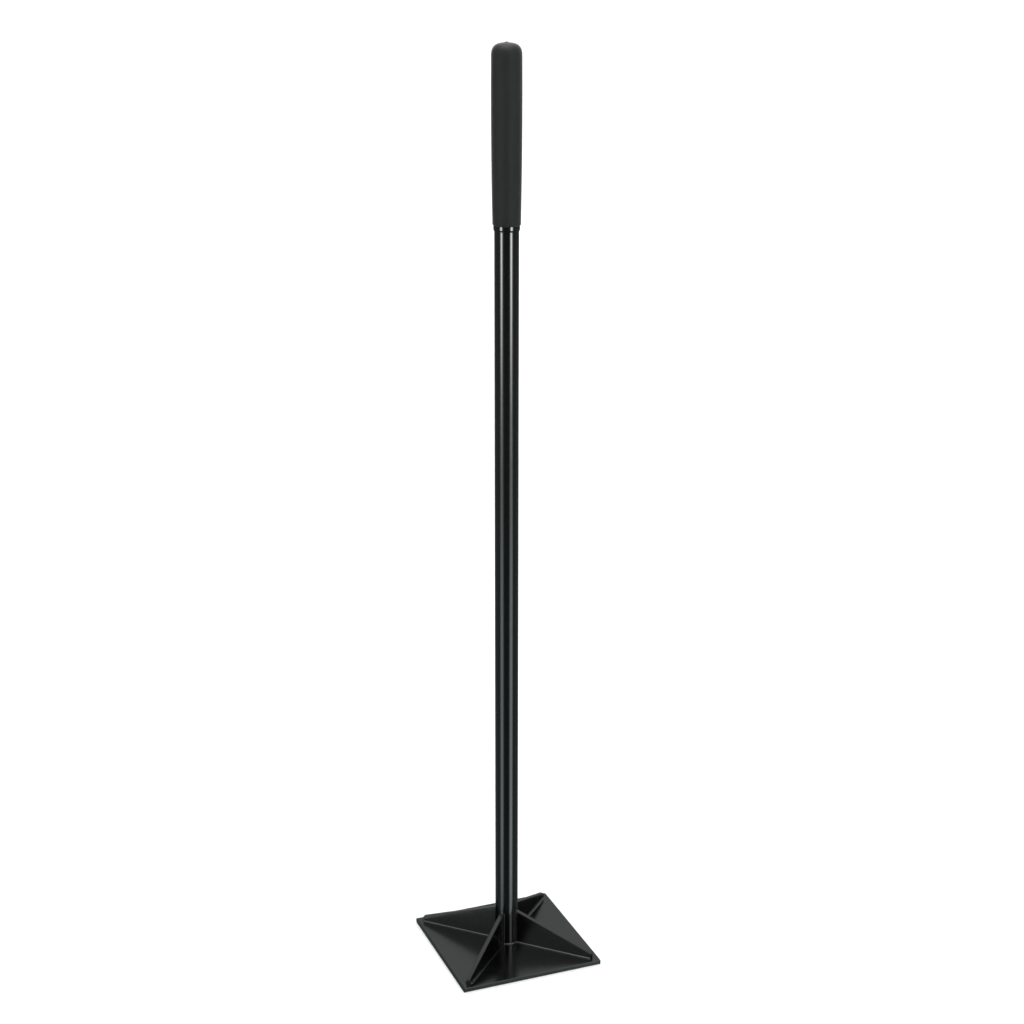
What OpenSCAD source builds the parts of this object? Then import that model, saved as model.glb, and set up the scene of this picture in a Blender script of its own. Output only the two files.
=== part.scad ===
// Hand tamper: a square steel plate, four gussets, a tube handle and a closed foam grip.
// The origin is the middle of the plate's underside, +Z runs up the handle and -Y is the front.

/* [Base plate] */
// Length of each side of the square plate
plate_side = 203.2; // [150:0.1:300]
// Thickness of the plate
plate_t = 6.35; // [4:0.05:12]
// Radius of the plate's corners, seen from above
plate_corner_r = 1.2; // [1:0.1:10]
// Bevel along the plate's edges
plate_bevel = 0.6; // [0.2:0.1:1.5]

/* [Handle tube] */
// Outside diameter of the tube
tube_od = 31.75; // [25:0.05:40]
// Wall of the tube
tube_wall = 1.5; // [1:0.1:3]
// Length of the tube, which stands on the plate
tube_len = 1219.2; // [900:0.1:1500]

/* [Gussets] */
// Thickness of each gusset
gusset_t = 6.35; // [4:0.05:10]
// Height of a gusset at the tube
gusset_tube_h = 49; // [30:0.5:80]
// Height of a gusset at its outer end
gusset_end_h = 7.5; // [5:0.5:20]
// Distance along the diagonal from the plate's sharp corner to a gusset's outer end
gusset_setback = 13.7; // [8:0.1:40]
// Bevel along the sloping top edges of a gusset
gusset_bevel = 0.5; // [0.2:0.1:1]
// Gap between a gusset and the tube, which the welds bridge
gusset_gap = 0.2; // [0.05:0.05:0.4]

/* [Welds] */
// Radius of the round weld beads on the plate
weld_r = 2; // [1.5:0.1:4]
// Radius of the upright weld beads, as a share of the beads on the plate
upright_share = 0.6; // [0.5:0.05:0.9]
// Step down from the top of a gusset to the end of its upright welds
weld_drop = 1; // [0.5:0.1:4]

/* [Tube plug] */
// Thickness of the plug's flange, which lies on the tube's end
plug_flange_t = 2; // [1:0.1:4]
// Length of the plug's skirt inside the tube
plug_skirt_len = 18; // [8:0.5:40]
// Wall of the plug's skirt
plug_skirt_wall = 1.8; // [1:0.1:3]
// Lead-in bevel at the foot of the skirt
plug_lead = 0.8; // [0.2:0.1:0.9]
// Clearance between the skirt and the tube's bore
plug_gap = 0.2; // [0.1:0.05:0.4]

/* [Foam grip] */
// Length of the foam, without the nub on its crown
grip_len = 224.5; // [150:0.5:350]
// Wall of the foam where it is widest
grip_wide_wall = 3.5; // [2.5:0.1:8]
// Wall of the foam at its lower end
grip_end_wall = 2; // [1.8:0.1:6]
// Height of the widest place above the lower end
grip_wide_h = 153; // [100:1:200]
// Height of the rounded crown
grip_crown_h = 18; // [10:0.5:30]
// Radius that rounds the lower end
grip_end_r = 1.6; // [0.5:0.1:1.9]
// Thickness of the foam over the plug
grip_cap_t = 22.2; // [10:0.1:40]
// Diameter of the moulding nub on the crown
grip_nub_d = 4.4; // [3:0.1:10]
// Height of the moulding nub
grip_nub_h = 1.2; // [0.4:0.1:2]
// Clearance between the foam and what it covers
grip_gap = 0.25; // [0.1:0.05:0.5]

/* [Grip collar] */
// Wall of the collar below the foam
collar_wall = 0.9; // [0.8:0.05:4]
// Height of the collar
collar_h = 6.8; // [4:0.1:15]
// Height of the sloped lip at the collar's lower end
collar_lip_h = 2.2; // [0.5:0.1:3]
// Depth by which that lip is drawn in
collar_lip_in = 0.65; // [0.2:0.05:0.75]
// Clearance between the collar and the tube
collar_gap = 0.25; // [0.15:0.05:0.4]

/* [Hidden] */
$fn = 96;

// Overrun of every cut past the face that it opens
overrun = 1;

// Angle of each gusset about the tube, counted from +X; the quarter after it is welded in one run
front_left_angle = 225;
front_right_angle = 315;
back_right_angle = 45;
back_left_angle = 135;

// Slant of the upper end of an upright weld, and the way it faces between tube and gusset
weld_end_angle = 45;
weld_facing_angle = 45;

// Steps along the curved stretches of the foam's outline
side_steps = 14;
crown_steps = 14;
round_steps = 5;

// Power of the sine and cosine in the crown's outline: 1 is an ellipse, less is squarer
crown_share = 2 / 3;

steel_black = [0.16, 0.17, 0.17];
weld_black = [0.22, 0.23, 0.23];
foam_black = [0.18, 0.185, 0.18];
gloss_black = [0.07, 0.07, 0.075];

tube_r = tube_od / 2;
bore_r = tube_r - tube_wall;
tube_top = plate_t + tube_len;

gusset_in = tube_r + gusset_gap;
gusset_out = plate_side / sqrt(2) - gusset_setback;
gusset_slope = atan2(gusset_tube_h - gusset_end_h, gusset_out - gusset_in);

// The line where a gusset's face would meet the tube, which the upright welds follow
seam_x = sqrt(pow(tube_r, 2) - pow(gusset_t / 2, 2));
seam_r = weld_r * upright_share;
seam_top = gusset_tube_h - weld_drop;

plug_r = bore_r - plug_gap;

grip_bore_r = tube_r + grip_gap;
grip_draw_in = grip_wide_wall - grip_end_wall;
grip_bore_top = tube_top + plug_flange_t + grip_gap;
grip_top = grip_bore_top + grip_cap_t;
grip_foot = grip_top - grip_len;
crown_foot = grip_len - grip_crown_h;

collar_foot = grip_foot - grip_gap - collar_h;
collar_bore_r = tube_r + collar_gap;

// Radius of the foam at a height above its lower end: widest at one place, then drawn in
function grip_r(h) =
    grip_bore_r + grip_wide_wall - grip_draw_in * pow((grip_wide_h - h) / grip_wide_h, 2);

// Square with round corners about the origin
module rounded_square(side, corner_r) {
    inner = side - 2 * corner_r;
    square([side, inner], center = true);
    square([inner, side], center = true);
    for (x = [-1, 1], y = [-1, 1])
        translate([x * inner / 2, y * inner / 2])
            circle(corner_r);
}

// Bar along X whose four long edges are bevelled, standing on z = 0
module bevelled_bar(length, width, height, bevel) {
    rotate([90, 0, 90])
        linear_extrude(length, center = true)
            polygon([
                [bevel - width / 2, 0], [width / 2 - bevel, 0],
                [width / 2, bevel], [width / 2, height - bevel],
                [width / 2 - bevel, height], [bevel - width / 2, height],
                [-width / 2, height - bevel], [-width / 2, bevel]
            ]);
}

module base_plate() {
    bar_len = plate_side + 2 * overrun;
    color(steel_black)
        intersection() {
            linear_extrude(plate_t)
                rounded_square(plate_side, plate_corner_r);
            bevelled_bar(bar_len, plate_side, plate_t, plate_bevel);
            rotate(90)
                bevelled_bar(bar_len, plate_side, plate_t, plate_bevel);
        }
}

// Sloping web that stands on the plate, with its inner edge against the tube
module gusset(angle) {
    color(steel_black)
        rotate(angle)
            translate([0, 0, plate_t])
                intersection() {
                    rotate([90, 0, 0])
                        linear_extrude(gusset_t, center = true)
                            polygon([
                                [gusset_in, 0], [gusset_out, 0],
                                [gusset_out, gusset_end_h], [gusset_in, gusset_tube_h]
                            ]);
                    gusset_top_bar();
                }
}

// Bar under the sloping edge whose bevels take off that edge's two corners
module gusset_top_bar() {
    translate([gusset_in, 0, gusset_tube_h])
        rotate([0, gusset_slope, 0])
            translate([0, 0, -gusset_out])
                bevelled_bar(2 * gusset_out, gusset_t, gusset_out, gusset_bevel);
}

module handle_tube() {
    color(steel_black)
        translate([0, 0, plate_t])
            difference() {
                cylinder(r = tube_r, h = tube_len);
                translate([0, 0, -overrun])
                    cylinder(r = bore_r, h = tube_len + 2 * overrun);
            }
}

// Quarter round section of the weld beads on the plate
module bead_section() {
    intersection() {
        circle(weld_r);
        square(weld_r);
    }
}

// Bead along the foot of a gusset that points along X, with a round outer end
module gusset_bead() {
    bead_len = gusset_out - weld_r;
    translate([0, gusset_t / 2, 0])
        rotate([90, 0, 90])
            linear_extrude(bead_len)
                bead_section();
    translate([bead_len, gusset_t / 2, 0])
        rotate_extrude(angle = 90)
            bead_section();
}

// Section of the bead that fills the corner between the tube and a gusset that points along X
module seam_section() {
    difference() {
        intersection() {
            translate([seam_x, gusset_t / 2])
                circle(seam_r);
            translate([0, gusset_t / 2])
                square(gusset_out);
        }
        circle(tube_r);
    }
}

// Upright bead on that section, from the top of the run at its foot to an end that slants off
module upright_bead() {
    difference() {
        translate([0, 0, weld_r])
            linear_extrude(seam_top - weld_r)
                seam_section();
        translate([seam_x, gusset_t / 2, seam_top])
            rotate([0, weld_end_angle, weld_facing_angle])
                translate([-weld_r, -weld_r, 0])
                    cube([2 * weld_r, 2 * weld_r, weld_r]);
    }
}

// One run of weld on the plate: in along a gusset, round the tube and out along the next gusset
module foot_run() {
    difference() {
        union() {
            intersection() {
                rotate_extrude()
                    translate([tube_r, 0])
                        bead_section();
                translate([gusset_t / 2, gusset_t / 2, 0])
                    cube([gusset_out, gusset_out, weld_r]);
            }
            gusset_bead();
            mirror([1, -1, 0])
                gusset_bead();
        }
        translate([0, 0, -overrun])
            cylinder(r = tube_r, h = weld_r + 2 * overrun);
    }
    linear_extrude(weld_r) {
        seam_section();
        mirror([1, -1])
            seam_section();
    }
}

module foot_weld(angle) {
    color(weld_black)
        rotate(angle)
            translate([0, 0, plate_t])
                foot_run();
}

// Weld on the first gusset of the quarter at an angle, or on the second one
module upright_weld(angle, second) {
    color(weld_black)
        rotate(angle)
            translate([0, 0, plate_t])
                if (second)
                    mirror([1, -1, 0])
                        upright_bead();
                else
                    upright_bead();
}

// Flanged cap pressed into the open end of the tube
module tube_plug() {
    skirt_in = plug_r - plug_skirt_wall;
    color(gloss_black)
        translate([0, 0, tube_top])
            rotate_extrude()
                polygon([
                    [0, 0], [skirt_in, 0], [skirt_in, -plug_skirt_len],
                    [plug_r - plug_lead, -plug_skirt_len], [plug_r, plug_lead - plug_skirt_len],
                    [plug_r, 0], [tube_r, 0], [tube_r, plug_flange_t], [0, plug_flange_t]
                ]);
}

// Foam sleeve with a closed, rounded crown: its side swells a little and its lower edge is rounded
module foam_grip() {
    end_r = grip_r(grip_end_r);
    crown_r = grip_r(crown_foot);
    nub_r = grip_nub_d / 2;
    lower_edge = [
        for (i = [0 : round_steps])
            let (a = 90 * i / round_steps)
            [end_r - grip_end_r * (1 - sin(a)), grip_end_r * (1 - cos(a))]
    ];
    side = [
        for (i = [1 : side_steps - 1])
            let (h = grip_end_r + (crown_foot - grip_end_r) * i / side_steps)
            [grip_r(h), h]
    ];
    crown = [
        for (i = [0 : crown_steps])
            let (a = 90 * i / crown_steps)
            [crown_r * pow(cos(a), crown_share), crown_foot + grip_crown_h * pow(sin(a), crown_share)]
    ];
    bore_top = grip_bore_top - grip_foot;
    bore = [[0, bore_top], [grip_bore_r, bore_top], [grip_bore_r, 0]];
    color(foam_black)
        translate([0, 0, grip_foot]) {
            rotate_extrude()
                polygon(concat(bore, lower_edge, side, crown));
            translate([0, 0, bore_top])
                cylinder(r = nub_r, h = grip_cap_t + grip_nub_h);
        }
}

// Thin glossy ring that ends the foam, with a sloped lower lip
module grip_collar() {
    collar_r = collar_bore_r + collar_wall;
    color(gloss_black)
        translate([0, 0, collar_foot])
            rotate_extrude()
                polygon([
                    [collar_bore_r, 0], [collar_r - collar_lip_in, 0],
                    [collar_r, collar_lip_h], [collar_r, collar_h], [collar_bore_r, collar_h]
                ]);
}

base_plate();
gusset(front_left_angle);  // front_left_gusset
gusset(front_right_angle);  // front_right_gusset
gusset(back_right_angle);  // back_right_gusset
gusset(back_left_angle);  // back_left_gusset
handle_tube();
foot_weld(front_left_angle);  // front_foot_weld
foot_weld(front_right_angle);  // right_foot_weld
foot_weld(back_right_angle);  // back_foot_weld
foot_weld(back_left_angle);  // left_foot_weld
upright_weld(front_left_angle, false);  // front_left_gusset_front_weld
upright_weld(front_left_angle, true);  // front_right_gusset_front_weld
upright_weld(front_right_angle, false);  // front_right_gusset_right_weld
upright_weld(front_right_angle, true);  // back_right_gusset_right_weld
upright_weld(back_right_angle, false);  // back_right_gusset_back_weld
upright_weld(back_right_angle, true);  // back_left_gusset_back_weld
upright_weld(back_left_angle, false);  // back_left_gusset_left_weld
upright_weld(back_left_angle, true);  // front_left_gusset_left_weld
tube_plug();
foam_grip();
grip_collar();
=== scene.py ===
import math

import bmesh
import bpy
from mathutils import Matrix, Vector


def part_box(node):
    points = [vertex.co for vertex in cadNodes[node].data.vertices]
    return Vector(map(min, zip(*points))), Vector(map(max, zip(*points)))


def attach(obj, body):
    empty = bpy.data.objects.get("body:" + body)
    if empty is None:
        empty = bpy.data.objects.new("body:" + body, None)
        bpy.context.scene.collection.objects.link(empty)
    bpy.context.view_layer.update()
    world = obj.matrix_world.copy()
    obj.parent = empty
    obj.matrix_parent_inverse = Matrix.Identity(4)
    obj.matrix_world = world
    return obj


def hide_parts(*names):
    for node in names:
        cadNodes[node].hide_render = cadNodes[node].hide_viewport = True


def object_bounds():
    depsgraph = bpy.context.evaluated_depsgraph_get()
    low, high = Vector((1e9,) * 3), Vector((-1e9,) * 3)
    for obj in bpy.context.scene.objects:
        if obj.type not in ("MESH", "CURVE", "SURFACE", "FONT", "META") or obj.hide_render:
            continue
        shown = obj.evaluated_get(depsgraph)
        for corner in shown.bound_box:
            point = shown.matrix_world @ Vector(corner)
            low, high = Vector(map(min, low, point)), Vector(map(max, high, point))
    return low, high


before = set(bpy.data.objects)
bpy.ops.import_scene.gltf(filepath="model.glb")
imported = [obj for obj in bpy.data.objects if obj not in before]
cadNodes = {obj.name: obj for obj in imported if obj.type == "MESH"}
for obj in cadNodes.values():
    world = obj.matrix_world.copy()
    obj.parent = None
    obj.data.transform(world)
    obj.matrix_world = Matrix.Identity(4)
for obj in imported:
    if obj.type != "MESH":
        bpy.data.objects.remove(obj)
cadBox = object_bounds()
scene = bpy.context.scene
scene.view_settings.view_transform = "Standard"
print("frame loaded:", len(cadNodes), "CAD nodes")


def addObject(name, data):
    made = bpy.data.objects.new(name, data)
    scene.collection.objects.link(made)
    return made


def addMesh(name, mesh):
    data = bpy.data.meshes.new(name)
    mesh.to_mesh(data)
    mesh.free()
    return addObject(name, data)


# camera, where the photo was taken from
cameraLook = {
    "turn": -21.490,        # degrees round the tube, 0 faces the plate's front side
    "pitch": 17.915,        # degrees down
    "roll": 0.060,
    "away": 2.4201,         # from the tube's axis
    "sideways": 0.0071,
    "height": 1.42745,
    "focal": 1923.5, "picture": 1024,  # focal length and the picture's side, in pixels
    "sensor": 36.0,
    "clip": (0.05, 200.0),
}


def makeCamera(look):
    turn, pitch, roll = (math.radians(look[k]) for k in ("turn", "pitch", "roll"))
    level = Vector((math.cos(turn), math.sin(turn), 0.0))
    outward = Vector((math.sin(turn), -math.cos(turn), 0.0))
    ahead = -outward * math.cos(pitch) - Vector((0.0, 0.0, math.sin(pitch)))
    upright = level.cross(ahead)
    right = level * math.cos(roll) + upright * math.sin(roll)
    up = upright * math.cos(roll) - level * math.sin(roll)
    data = bpy.data.cameras.new("photoCamera")
    data.sensor_width = look["sensor"]
    data.lens = look["focal"] / look["picture"] * look["sensor"]
    data.clip_start, data.clip_end = look["clip"]
    camera = addObject("photoCamera", data)
    place = outward * look["away"] + level * look["sideways"]
    place.z = look["height"]
    turned = Matrix((right, up, -ahead)).transposed().to_4x4()
    camera.matrix_world = Matrix.Translation(place) @ turned
    scene.camera = camera


makeCamera(cameraLook)
print("camera placed")


# node helpers
def startFinish(name):
    material = bpy.data.materials.new(name)
    material.use_nodes = True
    tree = material.node_tree
    return material, tree, tree.nodes["Principled BSDF"]


def addNode(tree, kind, values=None, **settings):
    node = tree.nodes.new(kind)
    for name, value in settings.items():
        setattr(node, name, value)
    for name, value in (values or {}).items():
        node.inputs[name].default_value = value
    return node


def mathNode(tree, operation, first, second=None, third=None):
    node = addNode(tree, "ShaderNodeMath", operation=operation)
    for socket, value in zip(node.inputs, (first, second, third)):
        if value is None:
            continue
        if isinstance(value, (int, float)):
            socket.default_value = value
        else:
            tree.links.new(value, socket)
    return node.outputs["Value"]


def rampNode(tree, source, stops, interpolation="LINEAR"):
    node = addNode(tree, "ShaderNodeValToRGB")
    ramp = node.color_ramp
    ramp.interpolation = interpolation
    while len(ramp.elements) < len(stops):
        ramp.elements.new(0.5)
    for element, (position, level) in zip(ramp.elements, stops):
        element.position = position
        element.color = (level, level, level, 1.0)
    tree.links.new(source, node.inputs["Fac"])
    return node.outputs["Color"]


mixSockets = {"RGBA": (0, 6, 7, 2), "FLOAT": (0, 2, 3, 0)}  # factor, first, second and result


def mixNode(tree, kind, factor, first, second):
    *sockets, result = mixSockets[kind]
    node = addNode(tree, "ShaderNodeMix", data_type=kind)
    for socket, value in zip(sockets, (factor, first, second)):
        if isinstance(value, tuple):
            node.inputs[socket].default_value = value
        else:
            tree.links.new(value, node.inputs[socket])
    return node.outputs[result]


# studio: white room to the camera, even light on matt surfaces, and for reflections a dim room
# with a tall strip box on each side of the camera, one more strip at the far right, a roof box
# and a pale panel behind the object
roomLook = {
    "seen": (1.0, 1.0, 1.0, 1.0), "evenLight": (0.5, 0.5, 0.5, 1.0),
    "tint": (0.95, 1.0, 0.98, 1.0), "lowTint": (0.84, 1.0, 0.985, 1.0),
    "lowShare": [(-19, 1.0), (-16, 0.0)],  # of the low tint, by elevation
    # strips on the left and right: their middles in degrees from the camera's side, half the
    # flat width, the fade, the two shares and the level by elevation
    "boxLayers": [
        # bright core of both boxes
        {"middles": (-49.0, 43.5), "flat": 3.5, "fade": 9.0, "shares": (1.0, 1.15),
         "levels": [(-16, 0.0), (-14.5, 0.5), (-12.5, 3.2), (-10, 5.3), (-4, 5.6), (2, 0.0)]},
        # their soft sides, down to the tube's foot
        {"middles": (-47.0, 45.5), "flat": 6.0, "fade": 17.0, "shares": (1.0, 1.25),
         "levels": [(-30.2, 0.0), (-28.8, 1.3), (-26, 0.9), (-20, 0.88), (-16.5, 0.38), (-8, 0.36),
                    (4, 0.0)]},
        # their upper ends, which plate and tube mirror in each other
        {"middles": (-49.0, 43.5), "flat": 6.0, "fade": 9.0, "shares": (0.30, 1.0),
         "levels": [(16, 0.0), (24, 2.6), (36, 2.6), (44, 0.0)]},
        # far right strip, along the back gusset's weld
        {"middles": (-114.0, 114.0), "flat": 6.0, "fade": 5.0, "shares": (0.0, 1.0),
         "levels": [(-5, 0.0), (-1, 1.7), (12, 1.7), (16, 0.0)]},
        # low right strip, on the plate's front side and the tube's foot
        {"middles": (-47.0, 43.0), "flat": 10.0, "fade": 8.0, "shares": (0.0, 1.0),
         "levels": [(-37, 0.0), (-35, 0.19), (-30.8, 0.19), (-29.6, 0.42), (-28.8, 0.38),
                    (-26, 0.0)]},
    ],
    # roof box, backdrop and back panel, by degrees from the camera's side and by elevation
    "roofAround": [(-100, 0.0), (-75, 1.0), (-40, 1.0), (-15, 0.1), (15, 0.1), (35, 0.6), (75, 0.6),
                   (100, 0.0)],
    "roof": [(40, 0.0), (48, 1.3), (90, 1.3)],
    "backdrop": [(-180, 0.22), (-168, 0.20), (-152, 0.42), (-138, 0.12), (-83, 0.11), (-36, 0.07),
                 (0, 0.05), (36, 0.07), (83, 0.11), (138, 0.12), (152, 0.42), (168, 0.20),
                 (180, 0.22)],
    "backdropRise": [(-4, 1.0), (6, 0.15)],
    "panelAround": [(-180, 1.0), (-150, 1.0), (-136, 0.12), (136, 0.12), (150, 1.0), (180, 1.0)],
    "panel": [(-3, 0.0), (3, 0.42), (18, 0.42), (25, 0.36), (31, 0.35), (37, 0.52), (60, 0.56),
              (80, 0.60)],
}


def roundStops(stops):
    return [(0.5 + degrees / 360.0, level) for degrees, level in stops]


def riseStops(stops):
    return [(0.5 + 0.5 * math.sin(math.radians(degrees)), level) for degrees, level in stops]


def boxStops(layer):
    stops = []
    near, far = layer["flat"], layer["flat"] + layer["fade"]
    for middle, share in zip(layer["middles"], layer["shares"]):
        stops += [(middle - far, 0.0), (middle - near, share), (middle + near, share),
                  (middle + far, 0.0)]
    return roundStops(stops)


def roomDirections(tree, turn):
    direction = addNode(tree, "ShaderNodeTexCoord")
    facing = addNode(tree, "ShaderNodeMapping", {"Rotation": (0.0, 0.0, -math.radians(turn))})
    tree.links.new(direction.outputs["Generated"], facing.inputs["Vector"])
    parts = addNode(tree, "ShaderNodeSeparateXYZ")
    tree.links.new(facing.outputs["Vector"], parts.inputs["Vector"])
    toCamera = mathNode(tree, "MULTIPLY", parts.outputs["Y"], -1.0)
    angle = mathNode(tree, "ARCTAN2", parts.outputs["X"], toCamera)
    # both run from 0 to 1, as the ramps do
    around = mathNode(tree, "MULTIPLY_ADD", angle, 0.5 / math.pi, 0.5)
    upright = mathNode(tree, "MULTIPLY_ADD", parts.outputs["Z"], 0.5, 0.5)
    return around, upright


def roomGloss(tree, look, turn):
    # what shiny surfaces mirror
    around, upright = roomDirections(tree, turn)
    panel = mathNode(tree, "MULTIPLY", rampNode(tree, around, roundStops(look["panelAround"])),
                     rampNode(tree, upright, riseStops(look["panel"])))
    backdrop = mathNode(tree, "MULTIPLY", rampNode(tree, around, roundStops(look["backdrop"])),
                        rampNode(tree, upright, riseStops(look["backdropRise"])))
    level = mathNode(tree, "MAXIMUM", panel, backdrop)
    level = mathNode(tree, "MULTIPLY_ADD", rampNode(tree, around, roundStops(look["roofAround"])),
                     rampNode(tree, upright, riseStops(look["roof"])), level)
    for layer in look["boxLayers"]:
        box = rampNode(tree, around, boxStops(layer), "EASE")
        level = mathNode(tree, "MULTIPLY_ADD", box,
                         rampNode(tree, upright, riseStops(layer["levels"])), level)
    tint = mixNode(tree, "RGBA", rampNode(tree, upright, riseStops(look["lowShare"])),
                   look["tint"], look["lowTint"])
    tinted = addNode(tree, "ShaderNodeVectorMath", operation="SCALE")
    tree.links.new(tint, tinted.inputs["Vector"])
    tree.links.new(level, tinted.inputs["Scale"])
    return tinted.outputs["Vector"]


def makeRoom(look, turn):
    world = bpy.data.worlds.new("studioRoom")
    world.use_nodes = True
    tree = world.node_tree
    tree.nodes.clear()
    gloss = roomGloss(tree, look, turn)
    rays = addNode(tree, "ShaderNodeLightPath")
    lit = mixNode(tree, "RGBA", rays.outputs["Is Glossy Ray"], look["evenLight"], gloss)
    shown = mixNode(tree, "RGBA", rays.outputs["Is Camera Ray"], lit, look["seen"])
    light = addNode(tree, "ShaderNodeBackground", {"Strength": 1.0})
    tree.links.new(shown, light.inputs["Color"])
    result = addNode(tree, "ShaderNodeOutputWorld")
    tree.links.new(light.outputs["Background"], result.inputs["Surface"])
    scene.world = world


# soft lamps, placed by azimuth from the camera's side and by elevation
lampLook = [
    {"name": "leftBox", "around": -46.0, "above": 32.0, "level": 1.1, "spread": 45.0},
    {"name": "rightBox", "around": 48.0, "above": 32.0, "level": 1.1, "spread": 45.0},
    {"name": "backBox", "around": 180.0, "above": 38.0, "level": 2.4, "spread": 60.0},
]


def makeLamps(looks, turn):
    for look in looks:
        data = bpy.data.lights.new(look["name"], "SUN")
        data.energy = look["level"]
        data.angle = math.radians(look["spread"])
        lamp = addObject(look["name"], data)
        bearing = math.radians(turn + look["around"])
        rise = math.radians(look["above"])
        toLamp = Vector((math.sin(bearing) * math.cos(rise), -math.cos(bearing) * math.cos(rise),
                         math.sin(rise)))
        lamp.rotation_euler = toLamp.to_track_quat("Z", "Y").to_euler()
        lamp.visible_glossy = False  # the room's own boxes make the highlights


# round soft lamp over the grip's crown
topBoxLook = {"width": 0.40, "above": 0.50, "watts": 1.9}


def makeTopBox(look):
    data = bpy.data.lights.new("topBox", "AREA")
    data.shape = "DISK"
    data.size = look["width"]
    data.energy = look["watts"]
    lamp = addObject("topBox", data)
    lamp.location = (0.0, 0.0, cadBox[1][2] + look["above"])
    lamp.visible_camera = False


# pale floor, lifted towards white for the camera, that keeps the object's shadow
floorLook = {"half": 60.0, "colour": (0.70, 0.70, 0.70, 1.0), "paleness": 0.32}


def makeFloor(look):
    mesh = bmesh.new()
    bmesh.ops.create_grid(mesh, x_segments=1, y_segments=1, size=look["half"])
    floor = addMesh("studioFloor", mesh)
    floor.visible_glossy = False  # gloss shows the room
    material, tree, shader = startFinish("paleFloor")
    shader.inputs["Base Color"].default_value = look["colour"]
    shader.inputs["Roughness"].default_value = 1.0
    shader.inputs["Specular IOR Level"].default_value = 0.0
    shader.inputs["Emission Color"].default_value = (1.0, 1.0, 1.0, 1.0)
    rays = addNode(tree, "ShaderNodeLightPath")
    glow = mathNode(tree, "MULTIPLY", rays.outputs["Is Camera Ray"], look["paleness"])
    tree.links.new(glow, shader.inputs["Emission Strength"])
    floor.data.materials.append(material)


makeRoom(roomLook, cameraLook["turn"])
makeLamps(lampLook, cameraLook["turn"])
makeTopBox(topBoxLook)
makeFloor(floorLook)
print("room, lamps and floor made")


# finishes; a noise is given as its scale, detail and roughness
def noiseOn(tree, scale, detail=2.0, roughness=0.5, stretch=None):
    place = addNode(tree, "ShaderNodeTexCoord")
    source = place.outputs["Object"]
    if stretch:
        mapping = addNode(tree, "ShaderNodeMapping", {"Scale": stretch})
        tree.links.new(source, mapping.inputs["Vector"])
        source = mapping.outputs["Vector"]
    noise = addNode(tree, "ShaderNodeTexNoise",
                    {"Scale": scale, "Detail": detail, "Roughness": roughness})
    tree.links.new(source, noise.inputs["Vector"])
    return noise.outputs["Fac"]


def spread(tree, source, low, high, fromLow=0.3, fromHigh=0.7):
    # most of a noise lies between 0.3 and 0.7
    node = addNode(tree, "ShaderNodeMapRange",
                   {"From Min": fromLow, "From Max": fromHigh, "To Min": low, "To Max": high})
    tree.links.new(source, node.inputs["Value"])
    return node.outputs["Result"]


def bumpOn(tree, height, strength, distance, under=None):
    node = addNode(tree, "ShaderNodeBump", {"Strength": strength, "Distance": distance})
    tree.links.new(height, node.inputs["Height"])
    if under:
        tree.links.new(under, node.inputs["Normal"])
    return node.outputs["Normal"]


def setColour(tree, shader, look):
    cloud = spread(tree, noiseOn(tree, *look["cloud"]), 0.0, 1.0)
    colour = mixNode(tree, "RGBA", cloud, look["deep"], look["pale"])
    tree.links.new(colour, shader.inputs["Base Color"])
    shader.inputs["IOR"].default_value = look["ior"]


def reliefOn(tree, look, kind, under=None):
    # bump from the look's noise of this name
    noise = noiseOn(tree, *look[kind], stretch=look.get(kind + "Stretch"))
    return bumpOn(tree, noise, look[kind + "Strength"], look[kind + "Depth"], under)


powderLook = {
    "deep": (0.0008, 0.0009, 0.0009, 1.0), "pale": (0.0014, 0.0016, 0.0016, 1.0),
    "cloud": (38.0, 4.0, 0.6), "patches": (110.0, 3.0, 0.55),
    "ior": 2.0, "gloss": (0.17, 0.21), "plateGloss": (0.18, 0.22), "edgeGloss": (0.07, 0.10),
    "edgeBand": (0.0006, 0.0001),  # how far in from the plate's sides the edge gloss comes in
    "peel": (520.0, 1.5), "peelStrength": 0.10, "peelDepth": 0.00012,
    "grain": (2600.0, 2.0), "grainStrength": 0.03, "grainDepth": 0.00003,
}
beadLook = dict(powderLook, ior=2.3)  # the runs shine more than the plate around them


def edgeMask(tree, half, band):
    # 1 on the plate's cut sides, 0 on its faces
    place = addNode(tree, "ShaderNodeTexCoord")
    parts = addNode(tree, "ShaderNodeSeparateXYZ")
    tree.links.new(place.outputs["Object"], parts.inputs["Vector"])
    across = mathNode(tree, "MAXIMUM", mathNode(tree, "ABSOLUTE", parts.outputs["X"]),
                      mathNode(tree, "ABSOLUTE", parts.outputs["Y"]))
    return spread(tree, across, 0.0, 1.0, half - band[0], half - band[1])


def powderCoat(name, look, plateHalf=None):
    material, tree, shader = startFinish(name)
    setColour(tree, shader, look)
    patches = noiseOn(tree, *look["patches"])
    gloss = spread(tree, patches, *look["plateGloss" if plateHalf else "gloss"])
    if plateHalf:
        gloss = mixNode(tree, "FLOAT", edgeMask(tree, plateHalf, look["edgeBand"]), gloss,
                        spread(tree, patches, *look["edgeGloss"]))
    tree.links.new(gloss, shader.inputs["Roughness"])
    grain = reliefOn(tree, look, "grain", reliefOn(tree, look, "peel"))
    tree.links.new(grain, shader.inputs["Normal"])
    return material


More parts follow.
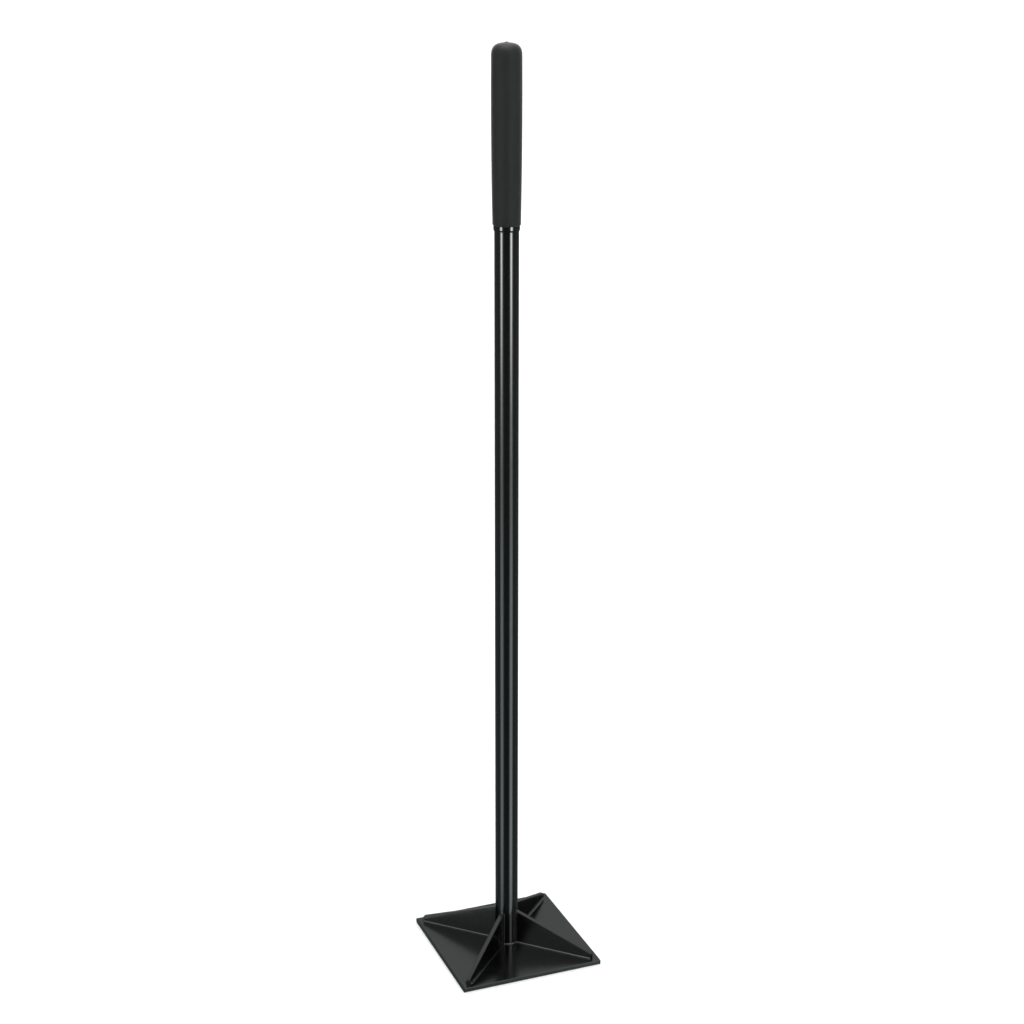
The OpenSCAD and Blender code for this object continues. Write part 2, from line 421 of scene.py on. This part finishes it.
enamelLook = {
    "deep": (0.0010, 0.0011, 0.0011, 1.0), "pale": (0.0018, 0.0020, 0.0020, 1.0),
    "cloud": (30.0, 3.0, 0.55), "patches": (70.0, 3.0, 0.5), "patchStretch": (1.0, 1.0, 0.3),
    "ior": 2.0, "gloss": (0.12, 0.15),
    "drawn": (260.0, 2.0), "drawnStretch": (1.0, 1.0, 0.035),
    "drawnStrength": 0.035, "drawnDepth": 0.00008,
    "peel": (640.0, 1.5), "peelStrength": 0.05, "peelDepth": 0.00008,
}


def tubeEnamel(name, look):
    material, tree, shader = startFinish(name)
    setColour(tree, shader, look)
    patches = noiseOn(tree, *look["patches"], look["patchStretch"])
    tree.links.new(spread(tree, patches, *look["gloss"]), shader.inputs["Roughness"])
    peel = reliefOn(tree, look, "peel", reliefOn(tree, look, "drawn"))
    tree.links.new(peel, shader.inputs["Normal"])
    return material


foamLook = {
    "skin": (0.009, 0.0096, 0.0095, 1.0), "cell": (0.0140, 0.0149, 0.0145, 1.0),
    "mottle": (420.0, 4.0, 0.65), "mottleRange": (0.05, 0.45),
    "rough": 0.6, "specular": 0.5, "sheen": 0.35, "sheenRough": 0.35,
    "cellScale": 1500.0, "cellStrength": 0.35, "cellDepth": 0.00018,
    "lump": (210.0, 2.0), "lumpStrength": 0.10, "lumpDepth": 0.0004,
}


def foamSkin(name, look):
    material, tree, shader = startFinish(name)
    place = addNode(tree, "ShaderNodeTexCoord")
    cells = addNode(tree, "ShaderNodeTexVoronoi", {"Scale": look["cellScale"]})
    tree.links.new(place.outputs["Object"], cells.inputs["Vector"])
    mottle = mathNode(tree, "MULTIPLY", noiseOn(tree, *look["mottle"]), cells.outputs["Distance"])
    colour = mixNode(tree, "RGBA", spread(tree, mottle, 0.0, 1.0, *look["mottleRange"]),
                     look["skin"], look["cell"])
    tree.links.new(colour, shader.inputs["Base Color"])
    shader.inputs["Roughness"].default_value = look["rough"]
    shader.inputs["Specular IOR Level"].default_value = look["specular"]
    shader.inputs["Sheen Weight"].default_value = look["sheen"]
    shader.inputs["Sheen Roughness"].default_value = look["sheenRough"]
    pores = bumpOn(tree, cells.outputs["Distance"], look["cellStrength"], look["cellDepth"],
                   reliefOn(tree, look, "lump"))
    tree.links.new(pores, shader.inputs["Normal"])
    return material


collarLook = {
    "deep": (0.0010, 0.0011, 0.0011, 1.0), "pale": (0.0018, 0.0020, 0.0020, 1.0),
    "cloud": (160.0, 3.0), "patches": (240.0, 2.0), "ior": 2.0, "gloss": (0.10, 0.14),
    "grain": (900.0, 2.0), "grainStrength": 0.03, "grainDepth": 0.00006,
}
plugLook = dict(collarLook, deep=(0.012, 0.012, 0.012, 1.0), pale=(0.019, 0.019, 0.019, 1.0),
                ior=1.5, gloss=(0.48, 0.60), grain=(1500.0, 2.0), grainStrength=0.12)


def mouldedPlastic(name, look):
    material, tree, shader = startFinish(name)
    setColour(tree, shader, look)
    patches = noiseOn(tree, *look["patches"])
    tree.links.new(spread(tree, patches, *look["gloss"]), shader.inputs["Roughness"])
    tree.links.new(reliefOn(tree, look, "grain"), shader.inputs["Normal"])
    return material


plateCoat = powderCoat("plateCoat", powderLook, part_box("base_plate")[1][0])
gussetCoat = powderCoat("gussetCoat", powderLook)
beadCoat = powderCoat("beadCoat", beadLook)
tubeCoat = tubeEnamel("tubeCoat", enamelLook)
gripFoam = foamSkin("gripFoam", foamLook)
collarPlastic = mouldedPlastic("collarPlastic", collarLook)
plugPlastic = mouldedPlastic("plugPlastic", plugLook)

finishOf = {"base_plate": plateCoat, "handle_tube": tubeCoat, "tube_plug": plugPlastic,
            "foam_grip": gripFoam, "grip_collar": collarPlastic}
for nodeName, node in cadNodes.items():
    finish = finishOf.get(nodeName)
    if finish is None:
        finish = beadCoat if nodeName.endswith("weld") else gussetCoat
    node.data.materials.clear()
    node.data.materials.append(finish)
print("finishes set on the CAD nodes")


def finishPiece(name, mesh, finish, slotName, *stoodFor):
    piece = addMesh(name, mesh)
    for face in piece.data.polygons:
        face.use_smooth = True
    piece.data.materials.append(finish)
    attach(piece, "root")
    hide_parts(*stoodFor)
    return piece


# foam grip: one spun wall, swollen towards the middle, with a domed crown and a small nub
gripShape = {
    "wideRadius": 0.019625, "endTaper": 0.0015, "wideHeight": 0.153,
    "crownHeight": 0.018, "crownPower": 2.0 / 3.0, "capThickness": 0.0222,
    "footRound": 0.0016, "boreRadius": 0.016125,
    "nubRadius": 0.0043, "nubHeight": 0.0012, "nubRoom": 1.05,  # nub radii at which the crown stops
    "sideSteps": 60, "crownSteps": 40, "roundSteps": 8, "nubSteps": 8, "turns": 96,
}


def gripRadius(shape, height):
    lean = (shape["wideHeight"] - height) / shape["wideHeight"]
    return shape["wideRadius"] - shape["endTaper"] * lean * lean


def gripProfile(shape, low, top):
    # from the axis out: closed end and wall of the bore, rounded foot, side, crown, nub
    crest = top - shape["nubHeight"]
    foot = shape["footRound"]
    crownFoot = crest - low - shape["crownHeight"]
    boreTop = crest - shape["capThickness"]
    points = [(0.0, boreTop), (shape["boreRadius"], boreTop), (shape["boreRadius"], low)]
    footRadius = gripRadius(shape, foot)
    for step in range(shape["roundSteps"] + 1):
        lean = math.pi / 2 * step / shape["roundSteps"]
        points.append((footRadius - foot + foot * math.sin(lean), low + foot - foot * math.cos(lean)))
    for step in range(1, shape["sideSteps"] + 1):
        height = foot + (crownFoot - foot) * step / shape["sideSteps"]
        points.append((gripRadius(shape, height), low + height))
    edge = gripRadius(shape, crownFoot)
    power = shape["crownPower"]
    for step in range(1, shape["crownSteps"]):
        lean = math.pi / 2 * step / shape["crownSteps"]
        radius = edge * math.cos(lean) ** power
        if radius <= shape["nubRadius"] * shape["nubRoom"]:
            break
        points.append((radius, low + crownFoot + shape["crownHeight"] * math.sin(lean) ** power))
    for step in range(shape["nubSteps"], -1, -1):
        share = step / shape["nubSteps"]
        rise = 0.5 + 0.5 * math.cos(math.pi * share)
        points.append((shape["nubRadius"] * share, crest + shape["nubHeight"] * rise))
    return points


def makeGrip(shape):
    low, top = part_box("foam_grip")
    mesh = bmesh.new()
    outline = [mesh.verts.new((radius, 0.0, height))
               for radius, height in gripProfile(shape, low[2], top[2])]
    edges = [mesh.edges.new(pair) for pair in zip(outline, outline[1:])]
    bmesh.ops.spin(mesh, geom=outline + edges, cent=(0.0, 0.0, 0.0), axis=(0.0, 0.0, 1.0),
                   angle=2 * math.pi, steps=shape["turns"], use_merge=True, use_duplicate=False)
    bmesh.ops.remove_doubles(mesh, verts=mesh.verts, dist=1e-6)
    bmesh.ops.recalc_face_normals(mesh, faces=mesh.faces)
    grip = finishPiece("foamGrip", mesh, gripFoam, "grip_foam", "foam_grip")


makeGrip(gripShape)
print("foam grip made")

# weld beads with ripples: the foot runs go in along one gusset, round the tube and out along
# the next one, the upright beads stand in the corners between gussets and tube
beadShape = {
    "radius": 0.002, "uprightRadius": 0.0012, "gussetHalf": 0.003175, "tubeRadius": 0.015875,
    "cornerRadius": 0.0026, "back": 0.0009, "under": 0.00015,  # back and under lie in the steel
    "arcSteps": 6, "rodSides": 14,
    "ripple": 0.0019, "rippleDepth": 0.065, "ripplePower": 1.5, "bow": 0.0009,
    "wander": 0.24, "wanderRate": 0.83, "swell": 0.03, "swellLength": 0.0061,
    "endShare": 0.06, "step": 0.00034,
}


def rippleAt(shape, along, share):
    # share runs 0 to 1 across the bead, and the crests bow forward in its middle
    wander = shape["wander"] * math.sin(along / shape["ripple"] * shape["wanderRate"])
    bowed = along - shape["bow"] * (1.0 - (2.0 * share - 1.0) ** 2)
    wave = 0.5 + 0.5 * math.cos(2 * math.pi * (bowed / shape["ripple"] + wander))
    swell = shape["swell"] * math.sin(along / shape["swellLength"])
    return 1.0 - shape["rippleDepth"] * wave ** shape["ripplePower"] - shape["swell"] + swell


def roundedEnd(shape, distance, radius):
    # share of the bead's full size, this far from its end
    if distance >= radius:
        return 1.0
    return max(shape["endShare"], math.sqrt(max(0.0, 1.0 - (1.0 - distance / radius) ** 2)))


def footCorner(shape):
    # middle of the small arc between gusset and tube, and its bearing from the tube's axis
    middleY = shape["gussetHalf"] + shape["cornerRadius"]
    middleX = math.sqrt((shape["tubeRadius"] + shape["cornerRadius"]) ** 2 - middleY ** 2)
    return middleX, middleY, math.atan2(middleY, middleX)


def footPoint(shape, out, along, length):
    # place on the root line and the way away from the wall, for a quarter between +X and +Y
    if along > length / 2:
        spot, away = footPoint(shape, out, length - along, length)
        return (spot[1], spot[0]), (away[1], away[0])
    half, tube, corner = shape["gussetHalf"], shape["tubeRadius"], shape["cornerRadius"]
    middleX, middleY, tilt = footCorner(shape)
    toCorner = out - middleX
    cornerLength = corner * (math.pi / 2 - tilt)
    if along < toCorner:
        return (out - along, half), (0.0, 1.0)
    if along < toCorner + cornerLength:
        turn = -math.pi / 2 - (along - toCorner) / corner
        away = (-math.cos(turn), -math.sin(turn))
        return (middleX - corner * away[0], middleY - corner * away[1]), away
    turn = tilt + (along - toCorner - cornerLength) / tube
    away = (math.cos(turn), math.sin(turn))
    return (tube * away[0], tube * away[1]), away


def footLength(shape, out):
    middleX, _, tilt = footCorner(shape)
    cornerLength = shape["cornerRadius"] * (math.pi / 2 - tilt)
    return 2 * (out - middleX + cornerLength + shape["tubeRadius"] * (math.pi / 4 - tilt))


def straightBead(section, length, step):
    # the section, drawn out along X and cut into short lengths
    mesh = bmesh.new()
    outline = mesh.faces.new([mesh.verts.new((0.0, across, up)) for across, up in section])
    drawn = bmesh.ops.extrude_face_region(mesh, geom=[outline])["geom"]
    bmesh.ops.translate(mesh, verts=[v for v in drawn if isinstance(v, bmesh.types.BMVert)],
                        vec=(length, 0.0, 0.0))
    lengthwise = [e for e in mesh.edges if abs(e.verts[0].co.x - e.verts[1].co.x) > length / 2]
    bmesh.ops.subdivide_edges(mesh, edges=lengthwise, cuts=int(length / step))
    return mesh


def placeBead(name, mesh, angle, node):
    bmesh.ops.rotate(mesh, verts=mesh.verts, cent=(0.0, 0.0, 0.0),
                     matrix=Matrix.Rotation(math.radians(angle), 3, "Z"))
    bmesh.ops.recalc_face_normals(mesh, faces=mesh.faces)
    finishPiece(name, mesh, beadCoat, "coated_weld", node)


def arcPoints(radius, span, steps, count):
    turns = [span * k / steps for k in range(count)]
    return [(radius * math.cos(turn), radius * math.sin(turn)) for turn in turns]


def makeFootBead(shape, name, angle, node, out, floorZ):
    radius = shape["radius"]
    section = arcPoints(radius, math.pi / 2, shape["arcSteps"], shape["arcSteps"] + 1)
    section += [(-shape["back"], radius), (-shape["back"], -shape["under"]),
                (radius, -shape["under"])]
    length = footLength(shape, out)
    mesh = straightBead(section, length, shape["step"])
    for vert in mesh.verts:
        along, across, up = vert.co
        size = roundedEnd(shape, min(along, length - along), radius)
        if across >= 0.0 and up >= 0.0:
            size *= rippleAt(shape, along, math.atan2(up, across) / (math.pi / 2))
        across = across * size if across > 0.0 else across
        up = up * size if up > 0.0 else up
        spot, away = footPoint(shape, out, along, length)
        vert.co = (spot[0] + away[0] * across, spot[1] + away[1] * across, floorZ + up)
    placeBead(name, mesh, angle, node)


def makeUprightBead(shape, name, angle, second, node, low, high):
    # second is true at the quarter's other gusset
    radius, half = shape["uprightRadius"], shape["gussetHalf"]
    seam = math.sqrt(shape["tubeRadius"] ** 2 - half ** 2)
    section = arcPoints(radius, 2 * math.pi, shape["rodSides"], shape["rodSides"])
    mesh = straightBead(section, high - low, shape["step"])
    for vert in mesh.verts:
        along, across, up = vert.co
        facing = math.atan2(up, across) / (math.pi / 2)
        size = roundedEnd(shape, high - low - along, radius)
        size *= rippleAt(shape, along, min(1.0, max(0.0, facing)))
        x, y = seam + across * size, half + up * size
        vert.co = (y, x, low + along) if second else (x, y, low + along)
    placeBead(name, mesh, angle, node)


def makeBeads(shape):
    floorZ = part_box("base_plate")[1][2]
    # outer end of the gussets, along the diagonal
    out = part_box("front_right_gusset")[1][0] * math.sqrt(2) - shape["gussetHalf"]
    # bearings of the gussets, and of the gusset that each quarter starts at
    gussets = {225: "front_left", 315: "front_right", 45: "back_right", 135: "back_left"}
    quarters = {225: "front", 315: "right", 45: "back", 135: "left"}
    for angle, side in quarters.items():
        makeFootBead(shape, side + "FootBead", angle, side + "_foot_weld", out, floorZ)
        for second in (False, True):
            owner = gussets[(angle + 90) % 360 if second else angle]
            node = owner + "_gusset_" + side + "_weld"
            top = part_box(node)[1][2]
            name = owner.replace("_r", "R").replace("_l", "L") + side.capitalize() + "Bead"
            makeUprightBead(shape, name, angle, second, node, floorZ + shape["radius"] / 2, top)


makeBeads(beadShape)
print("weld beads made")
